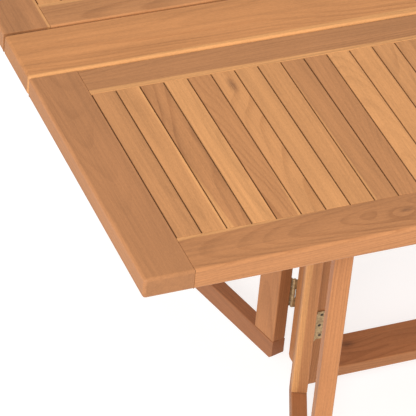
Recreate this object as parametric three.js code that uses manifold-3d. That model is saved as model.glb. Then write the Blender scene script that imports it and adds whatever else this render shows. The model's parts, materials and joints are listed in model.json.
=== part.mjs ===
// Folding slatted garden table: a fixed centre frame, two drop leaves and four swinging gate legs.
// Millimetres, +Z up, X along the table. The origin is on the ground under the middle of the top.
import * as THREE from "three";
import { mergeVertices } from "three/addons/utils/BufferGeometryUtils.js";
import Module from "manifold-3d";

const wasm = await Module();
wasm.setup();

// ---- driving dimensions ----------------------------------------------------------------------
const LENGTH = 1600;
const WIDTH = 1000;
const HEIGHT = 750;
const TOP_THICKNESS = 31;
const JOINT_GAP = 0.3; // between two pieces that touch
const EDGE_ROUND = 4.5; // on the outer edges of the top
const SOFT_ROUND = 2; // on the edges of legs, rails and posts
const CLIPPED_CORNER = 7; // on the low corners of posts and gates

const BAR_WIDTH = 104.5; // the fixed middle board
const LEAF_GAP = 2.8; // between the middle board and a leaf

const END_STILE_WIDTH = 69;
const INNER_RAIL_WIDTH = 56;
const OUTER_RAIL_WIDTH = 68;
const SLAT_COUNT = 42;
const SLAT_GAP = 1.8;
const SLAT_THICKNESS = 23;
const TONGUE_THICKNESS = 9;
const TONGUE_LENGTH = 9;

const POST_INSET = 493; // from the end of the table to the outer face of a post
const POST_THICKNESS = 31;
const POST_DEPTH = 78;
const POST_BOTTOM = 44;
const STRETCHER_WIDTH = 72;
const STRETCHER_THICKNESS = 20;
const STRETCHER_BOTTOM = 51;

const GATE_REACH = 450; // hinge pin to the far face of the leg
const GATE_THICKNESS = 24.5;
const GATE_STILE_WIDTH = 49;
const GATE_BOTTOM = 44; // of its low rail
const GATE_TOP = 712; // of its high rail
const GATE_RAIL_HEIGHT = 36;
const GATE_OPEN_ANGLES = { front: 22.5, back: 14.5 }; // past square, towards the end of the table

const HINGE_HEIGHT = 55;
const HINGE_LEAF_WIDTH = 16.5;
const HINGE_PLATE = 1.8;
const KNUCKLE_RADIUS = 3.1;
const PIN_RADIUS = 1.4;
const PIN_HOLE_RADIUS = 1.7;
const KNUCKLE_SIDES = 10;
const TAB_START = 2.2; // from the hinge pin centre to where a plate's tab sets off inside its knuckle
const TAB_END = 4.2; // and to where the tab has run into the plate
const SCREW_HOLE_RADIUS = 1.9;
const SCREW_HOLE_SIDES = 6;
const DRILL_LENGTH = 12;
const PIN_TO_WOOD = 3.3; // hinge pin centre to the face that its plates lie on
const PIN_TO_END = 2.6; // hinge pin centre to the end of the gate and to the side of the post
const GATE_HINGE_HEIGHTS = [173, 583];

const LEAF_HINGE_LENGTH = 66;
const LEAF_HINGE_WIDTH = 26;
const LEAF_HINGE_X = 589;

const STOP_LENGTH = 27;
const STOP_WIDTH = 13;
const STOP_HEIGHT = 17;

// ---- sizes that follow -----------------------------------------------------------------------
const END = LENGTH / 2;
const SIDE = WIDTH / 2;
const UNDERSIDE = HEIGHT - TOP_THICKNESS;
const LEAF_START = BAR_WIDTH / 2 + LEAF_GAP;
const RAIL_END = END - END_STILE_WIDTH;
const SLAT_START = LEAF_START + INNER_RAIL_WIDTH;
const SLAT_END = SIDE - OUTER_RAIL_WIDTH;
const SLAT_PITCH = (2 * RAIL_END - SLAT_GAP) / SLAT_COUNT;
const TONGUE_MIDDLE = HEIGHT - SLAT_THICKNESS / 2;
const POST_OUTER = END - POST_INSET;
const POST_INNER = POST_OUTER - POST_THICKNESS;
const PIN_X = POST_OUTER + PIN_TO_END;
const PIN_Y = POST_DEPTH / 2 + PIN_TO_WOOD;
const LEAF_PIN_Y = BAR_WIDTH / 2 + LEAF_GAP / 2;
const LEAF_PIN_Z = UNDERSIDE - PIN_TO_WOOD - JOINT_GAP;

// ---- materials -------------------------------------------------------------------------------
const TEAK_TOP = { color: 0xd9a56c, roughness: 0.62, metalness: 0 };
const TEAK_SLAT = { color: 0xcf9560, roughness: 0.64, metalness: 0 };
const TEAK_FRAME = { color: 0xc47c40, roughness: 0.66, metalness: 0 };
const TEAK_DARK = { color: 0x8a5228, roughness: 0.7, metalness: 0 };
const BRASS = { color: 0xb08d57, roughness: 0.38, metalness: 1 };

function piece(name, geometry, finish) {
  const made = new THREE.Mesh(geometry, new THREE.MeshStandardMaterial(finish));
  made.name = name;
  return made;
}

// ---- solids ----------------------------------------------------------------------------------
function toSolid(geometry) {
  const bare = geometry.clone();
  bare.deleteAttribute("normal");
  bare.deleteAttribute("uv");
  const merged = mergeVertices(bare, 1e-4);
  const mesh = new wasm.Mesh({
    numProp: 3,
    vertProperties: new Float32Array(merged.attributes.position.array),
    triVerts: new Uint32Array(merged.index.array),
  });
  return new wasm.Manifold(mesh);
}

function toGeometry(solid) {
  const mesh = solid.getMesh();
  const indexed = new THREE.BufferGeometry();
  indexed.setAttribute("position", new THREE.BufferAttribute(mesh.vertProperties, mesh.numProp));
  indexed.setIndex(new THREE.BufferAttribute(mesh.triVerts, 1));
  const flat = indexed.toNonIndexed();
  flat.computeVertexNormals();
  return flat;
}

function join(geometries) {
  return toGeometry(geometries.map(toSolid).reduce((whole, next) => whole.add(next)));
}

function cut(geometry, cutters) {
  return toGeometry(cutters.map(toSolid).reduce((whole, next) => whole.subtract(next), toSolid(geometry)));
}

// A plain block between two limits on each axis.
function block([x0, x1], [y0, y1], [z0, z1]) {
  const box = new THREE.BoxGeometry(x1 - x0, y1 - y0, z1 - z0);
  return box.translate((x0 + x1) / 2, (y0 + y1) / 2, (z0 + z1) / 2);
}

// An outline from 0,0 to width,height whose corners are rounded by the radii given
// for its four corners: low left, low right, high right, high left.
function roundedOutline(width, height, [lowLeft, lowRight, highRight, highLeft]) {
  const outline = new THREE.Shape();
  outline.moveTo(lowLeft, 0);
  outline.lineTo(width - lowRight, 0);
  if (lowRight) outline.absarc(width - lowRight, lowRight, lowRight, -Math.PI / 2, 0);
  outline.lineTo(width, height - highRight);
  if (highRight) outline.absarc(width - highRight, height - highRight, highRight, 0, Math.PI / 2);
  outline.lineTo(highLeft, height);
  if (highLeft) outline.absarc(highLeft, height - highLeft, highLeft, Math.PI / 2, Math.PI);
  outline.lineTo(0, lowLeft);
  if (lowLeft) outline.absarc(lowLeft, lowLeft, lowLeft, Math.PI, Math.PI * 1.5);
  return outline;
}

const ALONG = {
  x: new THREE.Matrix4().makeBasis(
    new THREE.Vector3(0, 1, 0), new THREE.Vector3(0, 0, 1), new THREE.Vector3(1, 0, 0)),
  y: new THREE.Matrix4().makeBasis(
    new THREE.Vector3(0, 0, 1), new THREE.Vector3(1, 0, 0), new THREE.Vector3(0, 1, 0)),
  z: new THREE.Matrix4(),
};

// An outline run along one axis: along x it lies in y and z, along y in z and x, along z in x and y.
function run(outline, axis, length) {
  const options = { depth: length, bevelEnabled: false, curveSegments: 3 };
  return new THREE.ExtrudeGeometry(outline, options).applyMatrix4(ALONG[axis]);
}

// A straight board with rounded long edges, between two limits on each axis.
function board(axis, [x0, x1], [y0, y1], [z0, z1], radii = Array(4).fill(SOFT_ROUND)) {
  const [dx, dy, dz] = [x1 - x0, y1 - y0, z1 - z0];
  const [width, height, length] = { x: [dy, dz, dx], y: [dz, dx, dy], z: [dx, dy, dz] }[axis];
  return run(roundedOutline(width, height, radii), axis, length).translate(x0, y0, z0);
}

// A bar that clips the corner it is centred on, and runs along one axis.
function cornerBar(axis, [x, y, z]) {
  const side = CLIPPED_CORNER * Math.SQRT2;
  const length = 2 * POST_DEPTH;
  const bar = axis === "x"
    ? new THREE.BoxGeometry(length, side, side).rotateX(Math.PI / 4)
    : new THREE.BoxGeometry(side, length, side).rotateY(Math.PI / 4);
  return bar.translate(x, y, z);
}

// ---- the fixed centre frame ------------------------------------------------------------------
function centreFrame() {
  const frame = new THREE.Group();
  const half = BAR_WIDTH / 2;
  const barRounds = Array(4).fill(EDGE_ROUND);
  frame.add(piece("centre_board",
    board("x", [-END, END], [-half, half], [UNDERSIDE, HEIGHT], barRounds), TEAK_TOP));
  const top = UNDERSIDE - JOINT_GAP;
  const depth = [-POST_DEPTH / 2, POST_DEPTH / 2];
  for (const [name, span] of [
    ["left_post", [-POST_OUTER, -POST_INNER]],
    ["right_post", [POST_INNER, POST_OUTER]],
  ]) {
    const corners = depth.map((y) => cornerBar("x", [span[0], y, POST_BOTTOM]));
    frame.add(piece(name, cut(board("z", span, depth, [POST_BOTTOM, top]), corners), TEAK_FRAME));
  }
  const reach = POST_INNER - JOINT_GAP;
  const stretcherTop = STRETCHER_BOTTOM + STRETCHER_THICKNESS;
  frame.add(piece("lower_stretcher",
    board("x", [-reach, reach], [-STRETCHER_WIDTH / 2, STRETCHER_WIDTH / 2],
      [STRETCHER_BOTTOM, stretcherTop]), TEAK_FRAME));
  return frame;
}

// ---- one drop leaf, drawn on the -Y side -----------------------------------------------------
// A rail's section in y and z: a board with a groove in the edge that holds the slats' tongues.
function railOutline(width, groovedEdge, radii) {
  const middle = TONGUE_MIDDLE - UNDERSIDE;
  const half = TONGUE_THICKNESS / 2 + JOINT_GAP;
  const depth = TONGUE_LENGTH + 2 * JOINT_GAP;
  const outline = roundedOutline(width, TOP_THICKNESS, radii);
  const points = outline.getPoints(3);
  const grooved = groovedEdge === "high"
    ? [[width, middle - half], [width - depth, middle - half],
      [width - depth, middle + half], [width, middle + half]]
    : [[0, middle + half], [depth, middle + half], [depth, middle - half], [0, middle - half]];
  const corner = groovedEdge === "high"
    ? points.findIndex((p) => p.x === width && p.y > middle)
    : points.findLastIndex((p) => p.x === 0 && p.y > middle) + 1;
  points.splice(corner, 0, ...grooved.map(([a, b]) => new THREE.Vector2(a, b)));
  return new THREE.Shape(points);
}

function slatPanel() {
  const low = -(SLAT_END - JOINT_GAP);
  const high = -(SLAT_START + JOINT_GAP);
  const reach = RAIL_END - SLAT_GAP;
  const span = [-reach, reach];
  const tongue = [TONGUE_MIDDLE - TONGUE_THICKNESS / 2, TONGUE_MIDDLE + TONGUE_THICKNESS / 2];
  const slab = join([
    block(span, [low, high], [HEIGHT - SLAT_THICKNESS, HEIGHT]),
    block(span, [low - TONGUE_LENGTH, high + TONGUE_LENGTH], tongue),
  ]);
  const gaps = [];
  for (let i = 1; i < SLAT_COUNT; i++) {
    const x = -RAIL_END + i * SLAT_PITCH;
    gaps.push(block([x, x + SLAT_GAP], [low, high], [UNDERSIDE, HEIGHT + 1]));
  }
  return cut(slab, gaps);
}

function leaf(side) {
  const group = new THREE.Group();
  const thickness = [UNDERSIDE, HEIGHT];
  const railReach = RAIL_END - JOINT_GAP;
  const depth = [-SIDE, -LEAF_START];
  // The back leaf is this one turned half round, so its right stile is the one drawn at -X.
  const [atLow, atHigh] = side === "front" ? ["left", "right"] : ["right", "left"];
  // Section corners of a board along y run z first, then x.
  const lowEdge = [EDGE_ROUND, EDGE_ROUND, 0, 0];
  const highEdge = [0, 0, EDGE_ROUND, EDGE_ROUND];
  group.add(piece(`${side}_leaf_${atLow}_stile`,
    board("y", [-END, -RAIL_END], depth, thickness, lowEdge), TEAK_TOP));
  group.add(piece(`${side}_leaf_${atHigh}_stile`,
    board("y", [RAIL_END, END], depth, thickness, highEdge), TEAK_TOP));
  const innerRail = railOutline(INNER_RAIL_WIDTH, "low", [0, EDGE_ROUND, EDGE_ROUND, 0]);
  const outerRail = railOutline(OUTER_RAIL_WIDTH, "high", [EDGE_ROUND, 0, 0, EDGE_ROUND]);
  group.add(piece(`${side}_leaf_inner_rail`,
    run(innerRail, "x", 2 * railReach).translate(-railReach, -SLAT_START, UNDERSIDE), TEAK_TOP));
  group.add(piece(`${side}_leaf_outer_rail`,
    run(outerRail, "x", 2 * railReach).translate(-railReach, -SIDE, UNDERSIDE), TEAK_TOP));
  group.add(piece(`${side}_leaf_slats`, slatPanel(), TEAK_SLAT));
  if (side === "back") group.rotation.z = Math.PI;
  return group;
}

// ---- hinges ----------------------------------------------------------------------------------
// One half of a butt hinge. Its pin lies on the z axis, its plate runs out along +x and lies
// on the side of the pin that `side` gives. The half that carries the pin has the two outer
// knuckles, and the other has the middle one.
function hingeHalf({ height, width, side, carriesPin, holes }) {
  const third = height / 3;
  const near = PIN_TO_WOOD - JOINT_GAP - HINGE_PLATE;
  const faces = [near * side, (near + HINGE_PLATE) * side].sort((a, b) => a - b);
  const parts = [block([KNUCKLE_RADIUS + JOINT_GAP, width], faces, [-height / 2, height / 2])];
  const tabs = carriesPin ? [-third, third] : [0];
  const knuckle = third - JOINT_GAP;
  const inner = carriesPin ? 0 : PIN_HOLE_RADIUS;
  for (const z of tabs) {
    parts.push(block([TAB_START, TAB_END], faces, [z - knuckle / 2, z + knuckle / 2]));
    parts.push(ring(inner, KNUCKLE_RADIUS, knuckle).translate(0, 0, z));
  }
  if (carriesPin) parts.push(ring(0, PIN_RADIUS, height - third));
  const drills = holes.map(([x, z]) =>
    new THREE.CylinderGeometry(SCREW_HOLE_RADIUS, SCREW_HOLE_RADIUS, DRILL_LENGTH, SCREW_HOLE_SIDES)
      .translate(x, 0, z));
  return cut(join(parts), drills);
}

// A round sleeve on the z axis, solid when its inner radius is 0.
function ring(inner, outer, height) {
  const half = height / 2;
  const profile = [
    new THREE.Vector2(inner, -half), new THREE.Vector2(outer, -half),
    new THREE.Vector2(outer, half), new THREE.Vector2(inner, half),
  ];
  if (inner) profile.push(profile[0].clone());
  return new THREE.LatheGeometry(profile, KNUCKLE_SIDES).rotateX(Math.PI / 2);
}

// Screw holes, three to a plate and staggered: distance from the pin, and along it.
const SHORT_PLATE_HOLES = [[10.9, -20.5], [8.6, 0], [10.9, 20.5]];
const LONG_PLATE_HOLES = [[19.5, -24], [13, 0], [19.5, 24]];

function gateHinge(name, side, z) {
  const shared = { height: HINGE_HEIGHT, width: HINGE_LEAF_WIDTH, holes: SHORT_PLATE_HOLES };
  const fixed = piece(`${name}_post_plate`,
    hingeHalf({ ...shared, side: -side, carriesPin: true }), BRASS);
  const moving = piece(`${name}_gate_plate`,
    hingeHalf({ ...shared, side, carriesPin: false }), BRASS);
  fixed.position.z = z;
  moving.position.z = z;
  return { fixed, moving };
}

function leafHinges(side) {
  const group = new THREE.Group();
  const shared = { height: LEAF_HINGE_LENGTH, width: LEAF_HINGE_WIDTH, holes: LONG_PLATE_HOLES };
  for (const [end, x] of [["left", -LEAF_HINGE_X], ["right", LEAF_HINGE_X]]) {
    const place = new THREE.Group();
    const name = `${side}_leaf_${end}_hinge`;
    const onBar = piece(`${name}_board_plate`,
      hingeHalf({ ...shared, side: 1, carriesPin: true }), BRASS);
    const onLeaf = piece(`${name}_leaf_plate`,
      hingeHalf({ ...shared, side: -1, carriesPin: false }), BRASS);
    // Turned so that the pin runs along x and both plates lie above it, one each way.
    const toBar = side === "front" ? 1 : -1;
    onBar.applyMatrix4(plateBasis(toBar));
    onLeaf.applyMatrix4(plateBasis(-toBar).multiply(new THREE.Matrix4().makeScale(1, -1, 1)));
    place.add(onBar, onLeaf);
    place.position.set(x, -toBar * LEAF_PIN_Y, LEAF_PIN_Z);
    group.add(place);
  }
  return group;
}

// Sends a hinge half's plate direction to +y or -y, and its wood side to +z.
function plateBasis(direction) {
  const plate = new THREE.Vector3(0, direction, 0);
  const wood = new THREE.Vector3(0, 0, 1);
  return new THREE.Matrix4().makeBasis(plate, wood, plate.clone().cross(wood));
}

// ---- one gate: a hinged frame that swings out and carries a leaf ------------------------------
// Drawn with its hinge pin on the z axis and its frame running out along +x.
function gate(end, side) {
  const left = end === "left" ? -1 : 1;
  const front = side === "front" ? -1 : 1;
  const turn = -left * front; // the side of the pin that the wood lies on, and the folding sense
  const name = `${side}_${end}_gate`;
  const group = new THREE.Group();
  const across = [PIN_TO_WOOD * turn, (PIN_TO_WOOD + GATE_THICKNESS) * turn].sort((a, b) => a - b);
  const stileEnd = PIN_TO_END + GATE_STILE_WIDTH;
  const legStart = GATE_REACH - GATE_STILE_WIDTH;
  // The rails run from the hinge side to the leg, and the stile stands between them.
  const railRun = [PIN_TO_END, legStart - JOINT_GAP];
  const lowRail = [GATE_BOTTOM, GATE_BOTTOM + GATE_RAIL_HEIGHT];
  const highRail = [GATE_TOP - GATE_RAIL_HEIGHT, GATE_TOP];
  const stileHeight = [lowRail[1] + JOINT_GAP, highRail[0] - JOINT_GAP];
  group.add(piece(`${name}_stile`,
    board("z", [PIN_TO_END, stileEnd], across, stileHeight), TEAK_FRAME));
  group.add(piece(`${name}_leg`,
    board("z", [legStart, GATE_REACH], across, [0, UNDERSIDE - JOINT_GAP]), TEAK_FRAME));
  group.add(piece(`${name}_low_rail`,
    cut(board("x", railRun, across, lowRail), [cornerBar("y", [PIN_TO_END, 0, GATE_BOTTOM])]), TEAK_FRAME));
  group.add(piece(`${name}_high_rail`, board("x", railRun, across, highRail), TEAK_FRAME));
  // The stop hangs under the leaf and meets the face of the leg that leads as the gate opens.
  const stopFace = PIN_TO_WOOD - JOINT_GAP;
  const stopAcross = [stopFace * turn, (stopFace - STOP_WIDTH) * turn].sort((a, b) => a - b);
  const underLeaf = UNDERSIDE - JOINT_GAP;
  group.add(piece(`${side}_${end}_leg_stop`,
    block([GATE_REACH - STOP_LENGTH, GATE_REACH], stopAcross,
      [underLeaf - STOP_HEIGHT, underLeaf]), TEAK_DARK));
  const pin = new THREE.Group();
  pin.position.set(left * PIN_X, front * PIN_Y, 0);
  pin.add(group);
  // The gate points to the side of the table, turned towards its end.
  const square = front * Math.PI / 2;
  group.rotation.z = square + turn * THREE.MathUtils.degToRad(GATE_OPEN_ANGLES[side]);
  for (const [place, z] of [["low", GATE_HINGE_HEIGHTS[0]], ["high", GATE_HINGE_HEIGHTS[1]]]) {
    const { fixed, moving } = gateHinge(`${name}_${place}_hinge`, turn, z);
    group.add(moving);
    const onPost = new THREE.Group();
    if (left > 0) onPost.rotation.z = Math.PI;
    onPost.add(fixed);
    pin.add(onPost);
  }
  return pin;
}

const table = new THREE.Group();
table.name = "folding_table";
table.add(centreFrame());
for (const side of ["front", "back"]) {
  table.add(leaf(side));
  table.add(leafHinges(side));
  for (const end of ["left", "right"]) table.add(gate(end, side));
}

export default table;
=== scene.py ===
import json
import math
import random

import bmesh
import bpy
import numpy as np
from mathutils import Matrix, Vector


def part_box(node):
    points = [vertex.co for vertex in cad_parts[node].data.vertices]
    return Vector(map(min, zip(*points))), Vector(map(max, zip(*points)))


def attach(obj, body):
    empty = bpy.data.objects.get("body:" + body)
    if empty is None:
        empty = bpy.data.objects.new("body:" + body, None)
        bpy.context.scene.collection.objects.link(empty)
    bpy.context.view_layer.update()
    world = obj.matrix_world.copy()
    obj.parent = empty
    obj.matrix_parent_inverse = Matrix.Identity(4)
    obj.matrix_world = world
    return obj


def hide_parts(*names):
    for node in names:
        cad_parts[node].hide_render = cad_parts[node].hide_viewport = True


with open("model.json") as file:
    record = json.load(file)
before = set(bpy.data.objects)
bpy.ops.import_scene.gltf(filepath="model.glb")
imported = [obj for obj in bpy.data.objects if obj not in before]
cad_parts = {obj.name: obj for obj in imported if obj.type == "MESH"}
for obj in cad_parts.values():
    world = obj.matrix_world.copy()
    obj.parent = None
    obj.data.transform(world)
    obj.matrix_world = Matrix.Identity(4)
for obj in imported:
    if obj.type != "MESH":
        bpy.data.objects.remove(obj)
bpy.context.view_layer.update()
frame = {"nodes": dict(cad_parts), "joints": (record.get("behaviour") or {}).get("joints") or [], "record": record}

# Everything is in metres. The finished look of a folding slatted teak table: each wooden part
# of the frame is replaced by a board of its own, each slat panel by its separate slats, and each
# hinge half by a finer one with its screws.

# ---- sizes -------------------------------------------------------------------------------------
EDGE_ROUND = 0.0048      # on the outer edges of the top
INNER_RAIL_ROUND = 0.6 * EDGE_ROUND
SOFT_ROUND = 0.0024      # on the edges of legs, rails and posts
STOP_ROUND = 0.6 * SOFT_ROUND
ARRIS = 0.0007           # on an edge that meets another board
SLAT_ARRIS = 0.0006
ROUND_STEPS = 4
CLIPPED_CORNER = 0.007   # on the low corners of posts, and of gates at their hinges

SLAT_COUNT = 42
SLAT_GAP = 0.0018
TONGUE_LENGTH = 0.009
TONGUE_THICKNESS = 0.009
GROOVE_CLEARANCE = 0.0003

HINGE_PLATE = 0.0018
HINGE_NEAR = 0.0012      # from the middle of the pin to the face of a plate that shows
KNUCKLE_RADIUS = 0.0031
PIN_RADIUS = 0.0014
KNUCKLE_GAP = 0.0003
NOTCH_OVERRUN = 0.001    # how far a knuckle's notch runs past the end of its plate
PIN_TO_PLATE = 0.0006    # from the side of the pin to where a plate starts
PLATE_CORNER = 0.0014
CORNER_STEPS = 4
BARREL_SIDES = 28
SCREW_SIDES = 20
SCREW_HEAD_RADIUS = 0.0028
SCREW_HEAD_DEPTH = 0.0014
SCREW_SHANK_RADIUS = 0.0014
SCREW_LENGTH = 0.012
SCREW_TIP = 0.003
SCREW_SLOT = (0.0006, 0.0014)
DRILL_CLEARANCE = 0.0003
SHORT_PLATE = (0.0165, 0.055)
LONG_PLATE = (0.026, 0.066)
SHORT_PLATE_HOLES = ((0.0109, -0.0205), (0.0086, 0), (0.0109, 0.0205))
LONG_PLATE_HOLES = ((0.0195, -0.024), (0.013, 0), (0.0195, 0.024))

FLOOR_SIZE = 80.0

# ---- camera and light ---------------------------------------------------------------------------
CAMERA_PLACE = Vector((-1.925, -3.082, 3.093))
CAMERA_TURN = 24.98      # degrees right of +Y
CAMERA_TILT = -38.23     # degrees above the horizon
CAMERA_ROLL = 5.44
CAMERA_LENS = 253.4      # millimetres, on the default 36 mm sensor

WORLD_LIGHT = 0.66
KEY_PLACE = Vector((-3.4, -3.6, 3.4))
KEY_SIZE = 3.2
KEY_POWER = 250
FILL_PLACE = Vector((3.4, -2.6, 3.4))
FILL_SIZE = 3.0
FILL_POWER = 40

# ---- colours, linear ----------------------------------------------------------------------------
BROWN_HEART = (0.330, 0.136, 0.056, 1)
LIGHT_HEART = (0.680, 0.318, 0.116, 1)
ORANGE_HEART = (0.560, 0.214, 0.066, 1)
SAPWOOD = (0.700, 0.335, 0.122, 1)
MINERAL_DARK = (0.120, 0.050, 0.024, 1)
RED_TINT = (1.0, 0.86, 0.76, 1)
BRASS_CLEAN = (0.520, 0.370, 0.190, 1)
BRASS_TARNISHED = (0.340, 0.225, 0.115, 1)
# Screw colours are painted shade, as dark as the shade in recessed screw holes, with tarnish patches between the
# two.
SCREW_PAINTED_SHADE = (0.150, 0.100, 0.060, 1)
SCREW_PAINTED_SHADE_TARNISHED = (0.050, 0.034, 0.024, 1)
FLOOR_PALE = (0.41, 0.41, 0.41, 1)
FLOOR_PALER = (0.43, 0.43, 0.43, 1)
FLOOR_GLOW = 0.69

X_AXIS = Vector((1, 0, 0))
Y_AXIS = Vector((0, 1, 0))
Z_AXIS = Vector((0, 0, 1))

BODY_OF = {
    node: body
    for body, nodes in frame["record"]["behaviour"]["bodies"].items()
    for node in nodes
}
JOINTS = {joint["name"]: joint for joint in frame["joints"]}


# ---- shader nodes -------------------------------------------------------------------------------
class Shading:
    """A material's node tree, with short ways to add nodes and join them."""

    def __init__(self, name, settings):
        self.material = bpy.data.materials.new(name)
        self.material.use_nodes = True
        self.tree = self.material.node_tree
        self.shader = self.tree.nodes["Principled BSDF"]
        for socket, value in settings.items():
            self.shader.inputs[socket].default_value = value

    def put(self, socket, value):
        """Joins an output to a socket, or sets the socket to a constant."""
        if isinstance(value, bpy.types.NodeSocket):
            self.tree.links.new(value, socket)
        else:
            socket.default_value = value

    def add(self, kind, inputs, **settings):
        node = self.tree.nodes.new(kind)
        for key, value in settings.items():
            setattr(node, key, value)
        for key, value in inputs.items():
            self.put(node.inputs[key], value)
        return node

    def attribute(self, name):
        return self.add("ShaderNodeAttribute", {}, attribute_name=name)

    def math(self, operation, *values):
        node = self.add("ShaderNodeMath", dict(enumerate(values)), operation=operation)
        return node.outputs[0]

    def vector(self, operation, *values):
        node = self.add("ShaderNodeVectorMath", dict(enumerate(values)), operation=operation)
        return node.outputs["Value" if operation == "LENGTH" else "Vector"]

    def noise(self, place, stretch, detail=2.0, roughness=0.5, output="Fac"):
        scaled = self.vector("MULTIPLY", place, stretch)
        inputs = {"Vector": scaled, "Scale": 1.0, "Detail": detail, "Roughness": roughness}
        return self.add("ShaderNodeTexNoise", inputs).outputs[output]

    def span(self, value, low, high, to_low=0.0, to_high=1.0):
        """Eases from one value to another as the input goes from low to high."""
        inputs = {
            "Value": value, "From Min": low, "From Max": high, "To Min": to_low, "To Max": to_high}
        return self.add("ShaderNodeMapRange", inputs, interpolation_type="SMOOTHSTEP").outputs[0]

    def mix(self, share, first, second, blend="MIX"):
        """Mixes two colours, or goes past the first where the share is below 0."""
        inputs = {0: share, 6: first, 7: second}
        node = self.add("ShaderNodeMix", inputs, data_type="RGBA", blend_type=blend, clamp_factor=False)
        return node.outputs[2]

    def scale_colour(self, colour, factor):
        node = self.add("ShaderNodeVectorMath", {0: colour, 3: factor}, operation="SCALE")
        return node.outputs[0]


def teak(name, grain_depth, roughness, darken=1.0):
    """Oiled teak. Growth rings round a slanting pith, fibres, pores, sapwood, knots, end grain, and painted shade
    on narrow sides.
    """
    s = Shading(name, {"IOR": 1.46, "Specular IOR Level": 0.3})
    grain = s.attribute("grain").outputs["Vector"]
    pith = s.attribute("pith").outputs["Vector"]
    kind = s.add("ShaderNodeSeparateXYZ", {0: s.attribute("kind").outputs["Vector"]}).outputs
    tone, hue, sap_depth = kind["X"], kind["Y"], kind["Z"]
    mark = s.attribute("mark").outputs["Vector"]
    edge = s.attribute("edge").outputs["Fac"]
    # end: the wood's own darker end grain, plus painted shade on a board's narrow sides.
    end = s.attribute("end").outputs["Fac"]

    # A knot is 1 at its middle, and bends the rings that pass it.
    knot = s.span(s.vector("LENGTH", mark), 0.0, 1.0, 1.0, 0.0)
    bend = s.span(s.vector("LENGTH", mark), 0.0, 4.0, 0.006, 0.0)

    # Growth rings.
    wander = s.noise(grain, (2.2, 7.0, 7.0), 2.0, 0.45, "Color")
    wander = s.vector("MULTIPLY", s.vector("SUBTRACT", wander, (0.5, 0.5, 0.5)), (0.0, 0.030, 0.030))
    across = s.vector("MULTIPLY", s.vector("ADD", pith, wander), (0.0, 1.0, 1.0))
    radius = s.math("ADD", s.vector("LENGTH", across), bend)
    uneven_inputs = {"W": s.math("MULTIPLY", radius, 55.0), "Scale": 1.0, "Detail": 2.0}
    uneven = s.add("ShaderNodeTexNoise", uneven_inputs, noise_dimensions="1D").outputs["Fac"]
    ring_count = s.math("ADD", s.math("MULTIPLY", radius, 290.0), s.math("MULTIPLY", uneven, 3.2))
    phase = s.math("FRACT", ring_count)
    rise = s.span(phase, 0.38, 0.90)
    drop = s.span(phase, 0.93, 1.0, 1.0, 0.0)
    ring = s.math("MULTIPLY", rise, drop)
    ring_strength = s.span(s.noise(grain, (1.5, 16.0, 16.0), 1.0), 0.35, 0.70, 0.25, 1.0)
    ring_strength = s.math("MULTIPLY", ring_strength, s.attribute("figure").outputs["Fac"])
    ring = s.math("MULTIPLY", ring, ring_strength)

    # Fibres, streaks and pores along the board.
    fibre = s.noise(grain, (14.0, 1300.0, 1300.0), 3.0, 0.6)
    streak = s.noise(grain, (2.4, 210.0, 210.0), 4.0, 0.62)
    band = s.noise(grain, (1.1, 34.0, 34.0), 2.0)
    cloud = s.noise(grain, (7.0, 22.0, 22.0), 2.0)
    fleck = s.noise(grain, (210.0, 620.0, 620.0), 3.0, 0.65)
    pore = s.span(s.noise(grain, (190.0, 3200.0, 3200.0), 1.0), 0.66, 0.74)
    pore = s.math("MULTIPLY", pore, s.span(phase, 0.0, 0.45, 1.0, 0.25))

    # Colour.
    heart = s.mix(tone, BROWN_HEART, LIGHT_HEART)
    heart = s.mix(hue, heart, ORANGE_HEART)
    sap_wander = s.math("SUBTRACT", s.noise(grain, (5.0, 40.0, 40.0), 3.0), 0.5)
    sap_wander = s.math("MULTIPLY", sap_wander, 0.006)
    sap = s.span(s.math("ADD", sap_depth, sap_wander), -0.0012, 0.0022)
    colour = s.mix(s.math("MULTIPLY", sap, 0.72), heart, SAPWOOD)
    light = s.math("ADD", 1.0, s.math("MULTIPLY", ring, -0.20))
    light = s.math("ADD", light, s.span(streak, 0.30, 0.70, -0.065, 0.065))
    light = s.math("ADD", light, s.span(fibre, 0.25, 0.75, -0.05, 0.05))
    light = s.math("ADD", light, s.span(band, 0.30, 0.70, -0.05, 0.05))
    light = s.math("ADD", light, s.span(cloud, 0.30, 0.70, -0.04, 0.04))
    light = s.math("ADD", light, s.span(fleck, 0.30, 0.70, -0.06, 0.06))
    light = s.math("ADD", light, s.math("MULTIPLY", pore, -0.22))
    light = s.math("ADD", light, s.math("MULTIPLY", edge, 0.10))
    # Darker on end grain, as the wood's own colour, and on narrow sides, as painted shade.
    light = s.math("MULTIPLY", light, s.math("SUBTRACT", 1.0, s.math("MULTIPLY", end, 0.20)))
    light = s.math("MULTIPLY", light, darken)
    colour = s.scale_colour(colour, light)
    late_wood = s.math("ADD", ring, s.math("MULTIPLY", s.math("SUBTRACT", streak, 0.5), 1.2))
    red = s.span(late_wood, 0.2, 1.0, 0.0, 0.26)
    colour = s.mix(red, colour, s.mix(1.0, colour, RED_TINT, "MULTIPLY"))
    knot_grain = s.span(s.noise(grain, (120.0, 900.0, 900.0), 3.0), 0.2, 0.7, 0.25, 0.80)
    colour = s.mix(s.math("MULTIPLY", knot, knot_grain), colour, MINERAL_DARK)
    s.put(s.shader.inputs["Base Color"], colour)

    # Surface.
    rough = s.math("ADD", roughness - 0.05, s.math("MULTIPLY", streak, 0.12))
    rough = s.math("ADD", rough, s.math("MULTIPLY", edge, -0.08))
    s.put(s.shader.inputs["Roughness"], rough)
    height = s.math("ADD", s.math("MULTIPLY", fibre, 0.6), s.math("MULTIPLY", ring, 0.35))
    height = s.math("SUBTRACT", height, s.math("MULTIPLY", pore, 0.8))
    height = s.math("ADD", height, s.math("MULTIPLY", streak, 0.5))
    bump = s.add("ShaderNodeBump", {"Height": height, "Strength": grain_depth, "Distance": 0.0005})
    s.put(s.shader.inputs["Normal"], bump.outputs[0])
    return s.material


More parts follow.
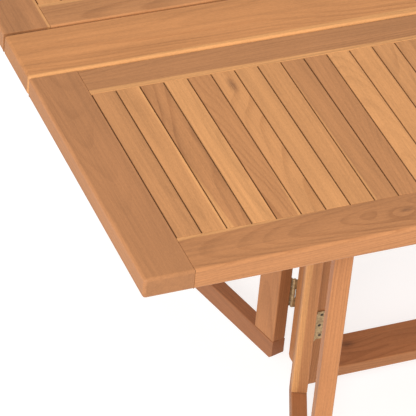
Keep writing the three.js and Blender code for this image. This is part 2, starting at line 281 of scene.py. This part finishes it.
def aged_metal(name, clean, tarnished, roughness):
    """A worn metal: tarnish in patches and specks, and fine scratches."""
    s = Shading(name, {"Metallic": 0.6})
    grain = s.attribute("grain").outputs["Vector"]
    patch = s.noise(grain, (260.0, 260.0, 190.0), 4.0, 0.6)
    speck = s.span(s.noise(grain, (1500.0, 1500.0, 1500.0), 2.0), 0.60, 0.72)
    scratch = s.noise(grain, (2600.0, 2600.0, 90.0), 2.0, 0.5)
    tarnish = s.math("ADD", s.span(patch, 0.34, 0.66), s.math("MULTIPLY", speck, 0.2))
    colour = s.mix(s.span(tarnish, 0.0, 1.0), clean, tarnished)
    s.put(s.shader.inputs["Base Color"], colour)
    rough = s.math("ADD", roughness - 0.1, s.math("MULTIPLY", s.math("ADD", patch, scratch), 0.16))
    s.put(s.shader.inputs["Roughness"], rough)
    height = s.math("ADD", s.math("MULTIPLY", scratch, 0.5), s.math("MULTIPLY", patch, 0.8))
    bump = s.add("ShaderNodeBump", {"Height": height, "Strength": 0.25, "Distance": 0.0002})
    s.put(s.shader.inputs["Normal"], bump.outputs[0])
    return s.material


# One material for each of the record's slots, and one more for the screws.
FINISHES = {
    "teak_top": teak("oiled_teak_top", 0.30, 0.60),
    "teak_slats": teak("oiled_teak_slats", 0.30, 0.62),
    "teak_frame": teak("oiled_teak_frame", 0.35, 0.64),
    "teak_stop": teak("dark_teak", 0.40, 0.68, darken=0.55),
    "brass": aged_metal("dulled_brass", BRASS_CLEAN, BRASS_TARNISHED, 0.42),
}
# The screws' metal is painted dark: painted shade for their holes, with tarnish patches.
SCREW_METAL_PAINTED_SHADE = aged_metal("screw_metal", SCREW_PAINTED_SHADE, SCREW_PAINTED_SHADE_TARNISHED, 0.45)


# ---- frames that boards lie in ------------------------------------------------------------------
def axes(out, face):
    """A turn that sends x to one direction and z to another, square to it."""
    return Matrix((out, face.cross(out), face)).transposed().to_4x4()


def box_in(node, place):
    """A CAD node's lowest and highest corner, measured along the axes of a frame."""
    back = place.inverted()
    points = np.array([back @ v.co for v in frame["nodes"][node].data.vertices])
    return Vector(points.min(0)), Vector(points.max(0))


def board_frame(node, place, along, face):
    """The frame in the middle of a board, x along it and z out of its face, and its half size."""
    turned = place @ axes(along, face)
    low, high = box_in(node, turned)
    return turned @ Matrix.Translation((low + high) / 2), (high - low) / 2


def gate_frame(side, end):
    """A gate's own frame at rest: the hinge pin is its z axis and the gate runs out along x."""
    joint = JOINTS[f"{side}_{end}_gate_swing"]
    folds = joint["range_deg"][1]
    square = -90 if side == "front" else 90
    angle = square + joint["axis"][2] * (90 - folds)
    x, y, _ = joint["pos_m"]
    return Matrix.Translation((x, y, 0)) @ Matrix.Rotation(math.radians(angle), 4, "Z")


# ---- meshes -------------------------------------------------------------------------------------
def new_object(name, mesh, place):
    made = bpy.data.objects.new(name, mesh)
    made.matrix_world = place
    bpy.context.scene.collection.objects.link(made)
    return made


def settle(piece):
    """Applies a piece's modifiers."""
    bpy.context.view_layer.update()
    shaped = piece.evaluated_get(bpy.context.evaluated_depsgraph_get())
    mesh = bpy.data.meshes.new_from_object(shaped)
    piece.modifiers.clear()
    piece.data = mesh
    mesh.name = piece.name


def prism(outline, axis, reach):
    """A straight solid as a bmesh: an outline run from -reach to reach along local axis 0, 1 or 2.
    The outline's points are in the other two axes, in their order."""
    shape = bmesh.new()
    rows = []
    for run in (-reach, reach):
        places = [point[:axis] + (run,) + point[axis:] for point in outline]
        rows.append([shape.verts.new(p) for p in places])
    shape.faces.new(rows[0])
    shape.faces.new(reversed(rows[1]))
    for i in range(len(outline)):
        j = (i + 1) % len(outline)
        shape.faces.new((rows[0][i], rows[0][j], rows[1][j], rows[1][i]))
    bmesh.ops.recalc_face_normals(shape, faces=shape.faces)
    return shape


def mesh_from(name, shape):
    """Makes a mesh out of a bmesh, and frees it."""
    mesh = bpy.data.meshes.new(name)
    shape.to_mesh(mesh)
    shape.free()
    return mesh


def solid(name, build):
    """An object at the origin, whose shape a function puts into an empty bmesh."""
    shape = bmesh.new()
    build(shape)
    bmesh.ops.recalc_face_normals(shape, faces=shape.faces)
    return new_object(name, mesh_from(name, shape), Matrix.Identity(4))


def combine(piece, tool, operation):
    """Joins a solid to a piece or cuts it out of the piece, and removes the solid."""
    change = piece.modifiers.new(operation.lower(), "BOOLEAN")
    change.operation = operation
    change.object = tool
    change.solver = "EXACT"
    settle(piece)
    bpy.data.objects.remove(tool)


def side_of(face, half):
    """Which outer side of its box a flat face lies in, such as '+z', 'clip' if it is a clipped
    corner, or '' if it lies inside."""
    if min(abs(face.normal.x), abs(face.normal.y)) > 0.5:
        return "clip"
    centre = face.calc_center_median()
    for i, letter in enumerate("xyz"):
        if abs(face.normal[i]) > 0.99 and abs(abs(centre[i]) - half[i]) < 1e-5:
            return ("+" if centre[i] > 0 else "-") + letter
    return ""


def round_edges(piece, half, outer, wide, narrow):
    """Rounds a board's edges: widely between two outer sides that show, narrowly elsewhere."""
    shape = bmesh.new()
    shape.from_mesh(piece.data)
    weights = []
    for edge in shape.edges:
        sides = [side_of(face, half) for face in edge.link_faces]
        if not all(sides) or sides[0] == sides[1]:
            weights.append(0.0)
        elif all(s in outer for s in sides):
            weights.append(1.0)
        else:
            weights.append(narrow / wide)
    shape.free()
    weight = piece.data.attributes.new("bevel_weight_edge", "FLOAT", "EDGE")
    weight.data.foreach_set("value", weights)
    piece.data.shade_smooth()
    bevel = piece.modifiers.new("round", "BEVEL")
    bevel.limit_method = "WEIGHT"
    bevel.width = wide
    bevel.segments = ROUND_STEPS
    bevel.harden_normals = True
    settle(piece)


def rectangle(half_y, half_z):
    return [(-half_y, -half_z), (half_y, -half_z), (half_y, half_z), (-half_y, half_z)]


def clipped_face(half, clipped):
    """A board's outline in x and y, with the corners of its -x end cut off on the given sides."""
    points = [(half.x, -half.y), (half.x, half.y)]
    for side in (1, -1):
        cut = CLIPPED_CORNER if side in clipped else 0
        corner = [(cut - half.x, side * half.y)]
        if cut:
            corner.append((-half.x, side * (half.y - cut)))
        points += corner[::side]
    return points


# ---- what a board's wood is like ------------------------------------------------------------------
NO_KNOT = ((5, 5, 5), (1, 1, 1))      # a knot metres away from its board


def write(mesh, name, values, kind="FLOAT_VECTOR", domain="POINT"):
    attribute = mesh.attributes.new(name, kind, domain)
    key = "vector" if kind == "FLOAT_VECTOR" else "value"
    attribute.data.foreach_set(key, np.asarray(values, np.float32).ravel())


def points_of(mesh):
    points = np.empty(len(mesh.vertices) * 3, np.float32)
    mesh.vertices.foreach_get("co", points)
    return points.reshape(-1, 3)


def on_arris(points, half):
    """1 on the rounded part of an edge, and 0 on the flat sides."""
    inside = np.abs(np.abs(points) - np.array(half)) > 1e-5
    return inside.all(axis=1).astype(float)


def grow(piece, half, tone, hue=0.0, figure=0.8, sap=None, pith=None, slant=None, knot=None,
         sides=0.0):
    """Writes where each point of a board lies in the tree it was cut from, for its material.
    tone runs from brown to light, hue towards orange, and figure is how strong its rings are.
    sap is (angle, depth, slope): the sapwood lies to that side of the section, so deep, and gets
    deeper along the board. pith is the middle of the rings, and slant how it leans along the
    board. knot is (place, size). sides is how much painted shade darkens the two narrow sides,
    as a share of the wood's own darkening of end grain, which is 1."""
    draw = random.Random(piece.name)
    points = points_of(piece.data)
    along, across, up = points.T.astype(float)
    offset = [draw.uniform(0, 40) for _ in range(3)]
    write(piece.data, "grain", points + np.array(offset))
    if pith is None:
        pith = (draw.uniform(-0.035, 0.035), -draw.uniform(0.035, 0.110))
    if slant is None:
        slant = (draw.uniform(-0.03, 0.03), draw.uniform(-0.05, 0.05))
    ring_y = across - pith[0] - slant[0] * along
    ring_z = up - pith[1] - slant[1] * along
    write(piece.data, "pith", np.stack([along, ring_y, ring_z], 1))
    depth = np.full(len(points), -1.0)
    if sap:
        angle, deep, slope = sap
        side = (math.cos(math.radians(angle)), math.sin(math.radians(angle)))
        reach = abs(side[0]) * half[1] + abs(side[1]) * half[2]
        depth = side[0] * across + side[1] * up - reach + deep + slope * along
    kind = [np.full(len(points), tone), np.full(len(points), hue), depth]
    write(piece.data, "kind", np.stack(kind, 1))
    write(piece.data, "figure", np.full(len(points), figure), "FLOAT")
    centre, size = knot or NO_KNOT
    write(piece.data, "mark", (points - np.array(centre)) / np.array(size))
    write(piece.data, "edge", on_arris(points, half), "FLOAT")
    # End grain is darkened as the wood's own colour; the narrow sides get painted shade, as strong as sides.
    end = []
    for face in piece.data.polygons:
        darkness = max(abs(face.normal.x), sides * abs(face.normal.y))
        end += [darkness] * face.loop_total
    write(piece.data, "end", end, "FLOAT", "CORNER")


def mount(piece, node, slot, material=None):
    """Gives a piece its finish and makes it ride with its CAD node's body."""
    piece.data.materials.clear()
    piece.data.materials.append(material or FINISHES[slot])
    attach(piece, BODY_OF[node])


def board(node, place, along, face, outer, look, slot, wide=SOFT_ROUND, section=None, clipped=()):
    """One board in the place of its CAD node. outer names the sides whose shared edges are rounded
    widely, and clipped gives the sides, -1 or 1, on which its -x end has a clipped corner."""
    lie, half = board_frame(node, place, along, face)
    if clipped:
        shape = prism(clipped_face(half, clipped), 2, half.z)
    else:
        shape = prism(section(half) if section else rectangle(half.y, half.z), 0, half.x)
    name = f"{node}_wood"
    piece = new_object(name, mesh_from(name, shape), lie)
    round_edges(piece, half, outer, wide, ARRIS)
    grow(piece, half, **look)
    mount(piece, node, slot)
    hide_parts(node)


ALL_SIDES = ("+x", "-x", "+y", "-y", "+z", "-z")


# ---- each board's look, as grow takes it ------------------------------------------------------------
LEAF_LOOKS = {
    "front": {
        "inner_rail": dict(tone=0.28, hue=0.0, sap=(180, 0.006, -0.004), pith=(0.05, -0.05)),
        "outer_rail": dict(tone=0.24, hue=0.12, figure=1.7, sap=(0, -0.0175, -0.035),
                           pith=(0.012, -0.035), slant=(0.01, 0.04),
                           knot=((-0.42, 0.004, 0.014), (0.016, 0.006, 0.01))),
        "left_stile": dict(tone=0.23, hue=0.0, figure=0.45, pith=(0.01, -0.09)),
        "right_stile": dict(tone=0.39, hue=0.05),
    },
    "back": {
        "inner_rail": dict(tone=0.33, hue=0.05, sap=(0, 0.008, 0.0)),
        "outer_rail": dict(tone=0.43, hue=0.05, sap=(0, 0.010, 0.004)),
        "left_stile": dict(tone=0.23, hue=0.0, sap=(0, 0.004, 0.0)),
        "right_stile": dict(tone=0.36, hue=0.0),
    },
}
FRAME_LOOKS = {
    "centre_board": dict(tone=0.53, hue=0.34, figure=1.0, sap=(180, 0.0165, 0.014),
                         pith=(0.012, -0.06), slant=(0.01, 0.03)),
    "post": dict(tone=0.22, hue=0.25),
    "lower_stretcher": dict(tone=0.09, hue=0.12, figure=1.1,
                            knot=((-0.22, 0.01, 0.010), (0.02, 0.012, 0.01))),
}
GATE_LOOKS = {
    # A stile's sides value paints shade onto its narrow sides.
    "stile": dict(tone=0.16, hue=0.15, sides=1.2),
    "leg": dict(tone=0.17, hue=0.30),
    "low_rail": dict(tone=0.02, hue=0.10),
    "high_rail": dict(tone=0.16, hue=0.20),
    "stop": dict(tone=0.2, hue=0.2),
    "front_left_gate_stile": dict(tone=0.20, hue=0.20, sap=(110, 0.009, 0.0), sides=0.6),
    "front_left_gate_leg": dict(tone=0.12, hue=0.28),
    "back_left_gate_low_rail": dict(tone=-0.11, hue=0.08),
}

# The first slats of the front leaf, from its left end.
FIRST_SLATS = (
    dict(tone=0.47, hue=0.0, figure=0.4),
    dict(tone=0.66, hue=0.05, figure=0.9, sap=(0, 0.004, 0.0)),
    dict(tone=0.39, hue=0.12, figure=1.5, sap=(180, 0.000, 0.060)),
    dict(tone=0.85, hue=0.0, figure=0.5),
    dict(tone=0.42, hue=0.10, figure=1.6, sap=(0, -0.002, 0.045)),
    dict(tone=0.68, hue=0.05, knot=((-0.128, 0.002, 0.011), (0.026, 0.008, 0.012))),
    dict(tone=0.74, hue=0.0, figure=0.4),
    dict(tone=0.68, hue=0.05, figure=0.4),
    dict(tone=0.39, hue=0.05, sap=(180, 0.002, 0.012)),
    dict(tone=0.34, hue=0.05, figure=1.4),
    dict(tone=0.79, hue=0.0, figure=0.5),
    dict(tone=0.78, hue=0.05, figure=0.5),
    dict(tone=0.63, hue=0.0),
    dict(tone=0.53, hue=0.05),
)


# ---- the top --------------------------------------------------------------------------------------
def grooved(toward):
    """Gives the section of a leaf's rail, with the groove that takes the slats' tongues."""
    def section(half):
        slat_middle = half.z - SLAT_THICKNESS / 2
        low = slat_middle - TONGUE_THICKNESS / 2 - GROOVE_CLEARANCE
        high = slat_middle + TONGUE_THICKNESS / 2 + GROOVE_CLEARANCE
        mouth = toward * half.y
        depth = toward * (half.y - TONGUE_LENGTH - 2 * GROOVE_CLEARANCE)
        points = rectangle(half.y, half.z)
        groove = [(mouth, low), (depth, low), (depth, high), (mouth, high)]
        if toward > 0:
            return points[:2] + groove + points[2:]
        return points + groove[::-1]
    return section


# Painted shade: the slats' sides are darkened as if shaded in the narrow gaps between slats.
SLAT_SIDE_PAINTED_SHADE = 2.0
SLAT_PANEL = {side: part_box(f"{side}_leaf_slats") for side in ("front", "back")}
SLAT_THICKNESS = SLAT_PANEL["front"][1].z - SLAT_PANEL["front"][0].z


def slat_look(side, number):
    """A slat's look: given for the first ones, and drawn for the others."""
    if side == "front" and number < len(FIRST_SLATS):
        return FIRST_SLATS[number]
    draw = random.Random(f"{side} slat {number}")
    look = dict(
        tone=draw.triangular(0.27, 0.92, 0.67),
        hue=draw.uniform(0, 0.15),
        figure=draw.uniform(0.4, 1.3),
    )
    if draw.random() < 0.3:
        look["sap"] = (draw.choice((0, 180)), draw.uniform(0, 0.006), draw.uniform(-0.03, 0.03))
    return look


def slat(side, number):
    """One slat, with a tongue at each end that sits in a rail's groove."""
    low, high = SLAT_PANEL[side]
    pitch = (high.x - low.x + SLAT_GAP) / SLAT_COUNT
    x = low.x + number * pitch
    half = Vector(((high.y - low.y) / 2, (pitch - SLAT_GAP) / 2, SLAT_THICKNESS / 2))
    shoulder = half.x - TONGUE_LENGTH
    tongue = TONGUE_THICKNESS / 2
    outline = [
        (-shoulder, -half.z), (shoulder, -half.z), (shoulder, -tongue), (half.x, -tongue),
        (half.x, tongue), (shoulder, tongue), (shoulder, half.z), (-shoulder, half.z),
        (-shoulder, tongue), (-half.x, tongue), (-half.x, -tongue), (-shoulder, -tongue),
    ]
    name = f"{side}_leaf_slat_{number + 1:02d}"
    mesh = mesh_from(name, prism(outline, 1, half.y))
    centre = Vector((x + half.y, (low.y + high.y) / 2, (low.z + high.z) / 2))
    piece = new_object(name, mesh, Matrix.Translation(centre) @ axes(-Y_AXIS, Z_AXIS))
    round_edges(piece, Vector((shoulder, half.y, half.z)), ALL_SIDES, SLAT_ARRIS, SLAT_ARRIS)
    # The slat's two sides get painted shade for the gaps between slats.
    grow(piece, half, sides=SLAT_SIDE_PAINTED_SHADE, **slat_look(side, number))
    node = f"{side}_leaf_slats"
    mount(piece, node, "teak_slats")
    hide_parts(node)


def leaf(side):
    """A leaf's two rails, two end stiles and slats."""
    here = Matrix.Identity(4)
    front = side == "front"
    # Boards along the table are drawn with x to its right end and y to its back.
    inner, outer = ("+y", "-y") if front else ("-y", "+y")
    slatward = -1 if front else 1
    looks = LEAF_LOOKS[side]
    board(f"{side}_leaf_inner_rail", here, X_AXIS, Z_AXIS, ("+z", "-z", inner), looks["inner_rail"],
          "teak_top", INNER_RAIL_ROUND, grooved(slatward))
    board(f"{side}_leaf_outer_rail", here, X_AXIS, Z_AXIS, ("+z", "-z", outer), looks["outer_rail"],
          "teak_top", EDGE_ROUND, grooved(-slatward))
    # Boards across the table are drawn with x to its front and y to its right end.
    far = "+x" if front else "-x"
    for end, out in (("left", "-y"), ("right", "+y")):
        board(f"{side}_leaf_{end}_stile", here, -Y_AXIS, Z_AXIS, ("+z", "-z", far, out),
              looks[f"{end}_stile"], "teak_top", EDGE_ROUND)
    for number in range(SLAT_COUNT):
        slat(side, number)


# ---- the fixed frame and the gates ----------------------------------------------------------------
def centre_frame():
    """The middle board, its two posts and the stretcher between them."""
    here = Matrix.Identity(4)
    board("centre_board", here, X_AXIS, Z_AXIS, ALL_SIDES, FRAME_LOOKS["centre_board"],
          "teak_top", EDGE_ROUND)
    for end, out in (("left", -X_AXIS), ("right", X_AXIS)):
        board(f"{end}_post", here, Z_AXIS, out, ALL_SIDES, FRAME_LOOKS["post"], "teak_frame",
              clipped=(-1, 1))
    board("lower_stretcher", here, X_AXIS, Z_AXIS, ("+y", "-y", "+z", "-z"),
          FRAME_LOOKS["lower_stretcher"], "teak_frame")


def gate(side, end):
    """The four boards of a gate, and the stop beside its leg. The boards' faces look away from the
    side that folds against the frame."""
    place = gate_frame(side, end)
    name = f"{side}_{end}_gate"
    turn = JOINTS[f"{name}_swing"]["axis"][2]
    outward = Y_AXIS * turn
    for part in ("stile", "leg"):
        look = GATE_LOOKS.get(f"{name}_{part}", GATE_LOOKS[part])
        board(f"{name}_{part}", place, Z_AXIS, outward, ALL_SIDES, look, "teak_frame")
    for part, clipped in (("low_rail", (turn,)), ("high_rail", ())):
        look = GATE_LOOKS.get(f"{name}_{part}", GATE_LOOKS[part])
        board(f"{name}_{part}", place, X_AXIS, outward, ("+y", "-y", "+z", "-z"), look, "teak_frame",
              clipped=clipped)
    board(f"{side}_{end}_leg_stop", place, X_AXIS, Z_AXIS, ("+x", "-x", "+y", "-y", "-z"),
          GATE_LOOKS["stop"], "teak_stop", STOP_ROUND)


# ---- hinges ---------------------------------------------------------------------------------------
def add_turned(shape, sides, rings):
    """Joins rings of points, each (radius, height), into a closed round solid on the z axis."""
    rows = []
    for radius, height in rings:
        rows.append([
            shape.verts.new((radius * math.cos(a), radius * math.sin(a), height))
            for a in (2 * math.pi * i / sides for i in range(sides))
        ])
    for low, high in zip(rows, rows[1:]):
        for i in range(sides):
            j = (i + 1) % sides
            shape.faces.new((low[i], low[j], high[j], high[i]))
    shape.faces.new(reversed(rows[0]))
    shape.faces.new(rows[-1])


def plate(width, height):
    """A flat plate with two rounded far corners, its wood side to +y."""
    def build(shape):
        start = PIN_RADIUS + PIN_TO_PLATE
        near, far = HINGE_NEAR, HINGE_NEAR + HINGE_PLATE
        corners = []
        for sign, first in ((-1, -90), (1, 0)):
            centre = (width - PLATE_CORNER, sign * (height / 2 - PLATE_CORNER))
            for step in range(CORNER_STEPS + 1):
                angle = math.radians(first + 90 / CORNER_STEPS * step)
                corners.append((centre[0] + PLATE_CORNER * math.cos(angle),
                                centre[1] + PLATE_CORNER * math.sin(angle)))
        outline = [(start, -height / 2)] + corners + [(start, height / 2)]
        rows = [[shape.verts.new((x, y, z)) for x, z in outline] for y in (near, far)]
        shape.faces.new(rows[0])
        shape.faces.new(reversed(rows[1]))
        for i in range(len(outline)):
            j = (i + 1) % len(outline)
            shape.faces.new((rows[0][i], rows[0][j], rows[1][j], rows[1][i]))
    return build


def barrel(radius, height, at):
    """A round bar on the z axis with softened ends."""
    soft = min(radius, height) * 0.12

    def build(shape):
        low, high = at - height / 2, at + height / 2
        add_turned(shape, BARREL_SIDES, (
            (radius - soft, low), (radius, low + soft), (radius, high - soft), (radius - soft, high)))
    return build


def block_at(at, reach):
    """A block round the hinge pin, from reach below a height to reach above it."""
    def build(shape):
        bmesh.ops.create_cube(shape, size=1)
        size = (2 * (KNUCKLE_RADIUS + KNUCKLE_GAP), 4 * KNUCKLE_RADIUS, 2 * reach)
        lie = Matrix.Translation((0, 0, at)) @ Matrix.Diagonal((*size, 1))
        bmesh.ops.transform(shape, matrix=lie, verts=shape.verts)
    return build


def countersink(at):
    """A cone-mouthed drill for a screw at (distance from the pin, height)."""
    x, z = at

    def build(shape):
        add_turned(shape, SCREW_SIDES, (
            (SCREW_HEAD_RADIUS + 2 * DRILL_CLEARANCE, -0.0005),
            (SCREW_HEAD_RADIUS + 0.0001, 0.0),
            (SCREW_SHANK_RADIUS + DRILL_CLEARANCE, 0.0013),
            (SCREW_SHANK_RADIUS + DRILL_CLEARANCE, 0.0030)))
        turn = Matrix.Translation((x, HINGE_NEAR, z)) @ axes(X_AXIS, Y_AXIS)
        bmesh.ops.transform(shape, matrix=turn, verts=shape.verts)
    return build


def hinge_mesh(name, width, height, carries_pin, holes):
    """One half of a butt hinge. Its pin lies on the z axis and its plate runs out along x."""
    third = height / 3
    piece = solid(name, plate(width, height))
    ends, middle = (-1, 1), (0,)
    knuckles, notches = (ends, middle) if carries_pin else (middle, ends)
    for way in notches:
        reach = third / 2 + KNUCKLE_GAP / 2 + abs(way) * NOTCH_OVERRUN
        at = way * (third + NOTCH_OVERRUN / 2)
        combine(piece, solid("notch", block_at(at, reach)), "DIFFERENCE")
    for way in knuckles:
        knuckle = barrel(KNUCKLE_RADIUS, third - KNUCKLE_GAP, way * third)
        combine(piece, solid("knuckle", knuckle), "UNION")
    if carries_pin:
        combine(piece, solid("pin", barrel(PIN_RADIUS, height - third, 0)), "UNION")
    else:
        combine(piece, solid("bore", barrel(PIN_RADIUS + KNUCKLE_GAP, height, 0)), "DIFFERENCE")
    for hole in holes:
        combine(piece, solid("drill", countersink(hole)), "DIFFERENCE")
    mesh = piece.data
    bpy.data.objects.remove(piece)
    mesh.name = name
    return mesh


def screw_mesh(name, holes):
    """The countersunk screws of one plate, with a slot across each head."""
    shape = bmesh.new()
    for number, (x, z) in enumerate(holes):
        one = bmesh.new()
        add_turned(one, SCREW_SIDES, (
            (SCREW_HEAD_RADIUS - 0.0003, 0.00005),
            (SCREW_HEAD_RADIUS, 0.0002),
            (SCREW_SHANK_RADIUS, SCREW_HEAD_DEPTH),
            (SCREW_SHANK_RADIUS, SCREW_LENGTH - SCREW_TIP),
            (0.0002, SCREW_LENGTH)))
        bmesh.ops.recalc_face_normals(one, faces=one.faces)
        screw = new_object("screw", mesh_from("screw", one), Matrix.Identity(4))

        def slot(cutter):
            bmesh.ops.create_cube(cutter, size=1)
            size = Matrix.Diagonal((2.2 * SCREW_HEAD_RADIUS, *SCREW_SLOT, 1))
            bmesh.ops.transform(cutter, matrix=size, verts=cutter.verts)
        combine(screw, solid("slot", slot), "DIFFERENCE")
        turn = Matrix.Translation((x, HINGE_NEAR, z)) @ axes(X_AXIS, Y_AXIS)
        screw.data.transform(turn @ Matrix.Rotation(0.7 + 1.3 * number, 4, "Z"))
        shape.from_mesh(screw.data)
        bpy.data.objects.remove(screw)
    return mesh_from(name, shape)


def metal_marks(piece):
    """Sets where the metal's patches fall."""
    draw = random.Random(piece.name)
    offset = [draw.uniform(0, 5) for _ in range(3)]
    write(piece.data, "grain", points_of(piece.data) + np.array(offset))


def hinge_half(node, place, out, wood, meshes):
    """Puts a hinge half in its CAD node's place: its plate runs along out, its wood side faces wood."""
    turned = place @ Matrix((out, wood, out.cross(wood))).transposed().to_4x4()
    low, high = box_in(node, turned)
    lie = turned @ Matrix.Translation((0, 0, (low.z + high.z) / 2))
    half = new_object(f"{node}_brass", meshes[0].copy(), lie)
    screws = new_object(f"{node}_screws", meshes[1].copy(), lie)
    metal_marks(half)
    metal_marks(screws)
    mount(half, node, "brass")
    # The screws get the dark metal, which is painted shade.
    mount(screws, node, "brass", SCREW_METAL_PAINTED_SHADE)
    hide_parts(node)


def hinges():
    """Two short hinges to each gate and two long ones to each leaf, each in two halves."""
    short = {
        pin: (hinge_mesh(f"short_{pin}", *SHORT_PLATE, pin == "fixed", SHORT_PLATE_HOLES),
              screw_mesh("short_screws", SHORT_PLATE_HOLES))
        for pin in ("fixed", "loose")
    }
    long = {
        pin: (hinge_mesh(f"long_{pin}", *LONG_PLATE, pin == "fixed", LONG_PLATE_HOLES),
              screw_mesh("long_screws", LONG_PLATE_HOLES))
        for pin in ("fixed", "loose")
    }
    for side in ("front", "back"):
        inward = Y_AXIS if side == "front" else -Y_AXIS
        for end in ("left", "right"):
            to_post = X_AXIS if end == "left" else -X_AXIS
            joint = JOINTS[f"{side}_{end}_gate_swing"]
            pin = Matrix.Translation((joint["pos_m"][0], joint["pos_m"][1], 0))
            for level in ("low", "high"):
                name = f"{side}_{end}_gate_{level}_hinge"
                hinge_half(f"{name}_post_plate", pin, to_post, inward, short["fixed"])
                hinge_half(f"{name}_gate_plate", gate_frame(side, end), X_AXIS,
                           Y_AXIS * joint["axis"][2], short["loose"])
            lift = JOINTS[f"{side}_leaf_lift"]["pos_m"]
            name = f"{side}_leaf_{end}_hinge"
            low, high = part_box(f"{name}_board_plate")
            pin = Matrix.Translation(((low.x + high.x) / 2, lift[1], lift[2]))
            hinge_half(f"{name}_board_plate", pin, inward, Z_AXIS, long["fixed"])
            hinge_half(f"{name}_leaf_plate", pin, -inward, Z_AXIS, long["loose"])


# ---- the studio -----------------------------------------------------------------------------------
def camera():
    turn, tilt, roll = (math.radians(a) for a in (CAMERA_TURN, CAMERA_TILT, CAMERA_ROLL))
    ahead = Vector((math.cos(tilt) * math.sin(turn), math.cos(tilt) * math.cos(turn), math.sin(tilt)))
    level = Vector((math.cos(turn), -math.sin(turn), 0))
    upright = level.cross(ahead)
    right = level * math.cos(roll) + upright * math.sin(roll)
    up = upright * math.cos(roll) - level * math.sin(roll)
    made = bpy.data.objects.new("camera", bpy.data.cameras.new("camera"))
    facing = Matrix((right, up, -ahead)).transposed().to_4x4()
    made.matrix_world = Matrix.Translation(CAMERA_PLACE) @ facing
    made.data.lens = CAMERA_LENS
    made.data.clip_end = 200
    bpy.context.scene.collection.objects.link(made)
    bpy.context.scene.camera = made


def soft_light(name, place, size, power, aim):
    lamp = bpy.data.lights.new(name, "AREA")
    lamp.shape = "DISK"
    lamp.size = size
    lamp.energy = power
    made = bpy.data.objects.new(name, lamp)
    facing = (aim - place).to_track_quat("-Z", "Y").to_matrix().to_4x4()
    made.matrix_world = Matrix.Translation(place) @ facing
    bpy.context.scene.collection.objects.link(made)


def floor():
    s = Shading("floor_pale", {
        "Roughness": 0.9, "Emission Color": (1, 1, 1, 1), "Emission Strength": FLOOR_GLOW})
    place = s.add("ShaderNodeTexCoord", {}).outputs["Object"]
    speckle = s.noise(place, (3.0, 3.0, 3.0), 3.0)
    s.put(s.shader.inputs["Base Color"], s.mix(speckle, FLOOR_PALE, FLOOR_PALER))
    corners = [(x, y, 0) for x, y in rectangle(FLOOR_SIZE / 2, FLOOR_SIZE / 2)]
    mesh = bpy.data.meshes.new("floor")
    mesh.from_pydata(corners, [], [(0, 1, 2, 3)])
    mesh.materials.append(s.material)
    new_object("floor", mesh, Matrix.Identity(4))


def studio():
    camera()
    middle = Vector((0, 0, 0.5))
    soft_light("key", KEY_PLACE, KEY_SIZE, KEY_POWER, middle)
    soft_light("fill", FILL_PLACE, FILL_SIZE, FILL_POWER, middle)
    world = bpy.data.worlds.new("studio")
    world.use_nodes = True
    world.node_tree.nodes["Background"].inputs["Color"].default_value = (1, 1, 1, 1)
    world.node_tree.nodes["Background"].inputs["Strength"].default_value = WORLD_LIGHT
    bpy.context.scene.world = world
    bpy.context.scene.view_settings.view_transform = "Standard"
    floor()


studio()
centre_frame()
for leaf_side in ("front", "back"):
    leaf(leaf_side)
    for gate_end in ("left", "right"):
        gate(leaf_side, gate_end)
hinges()
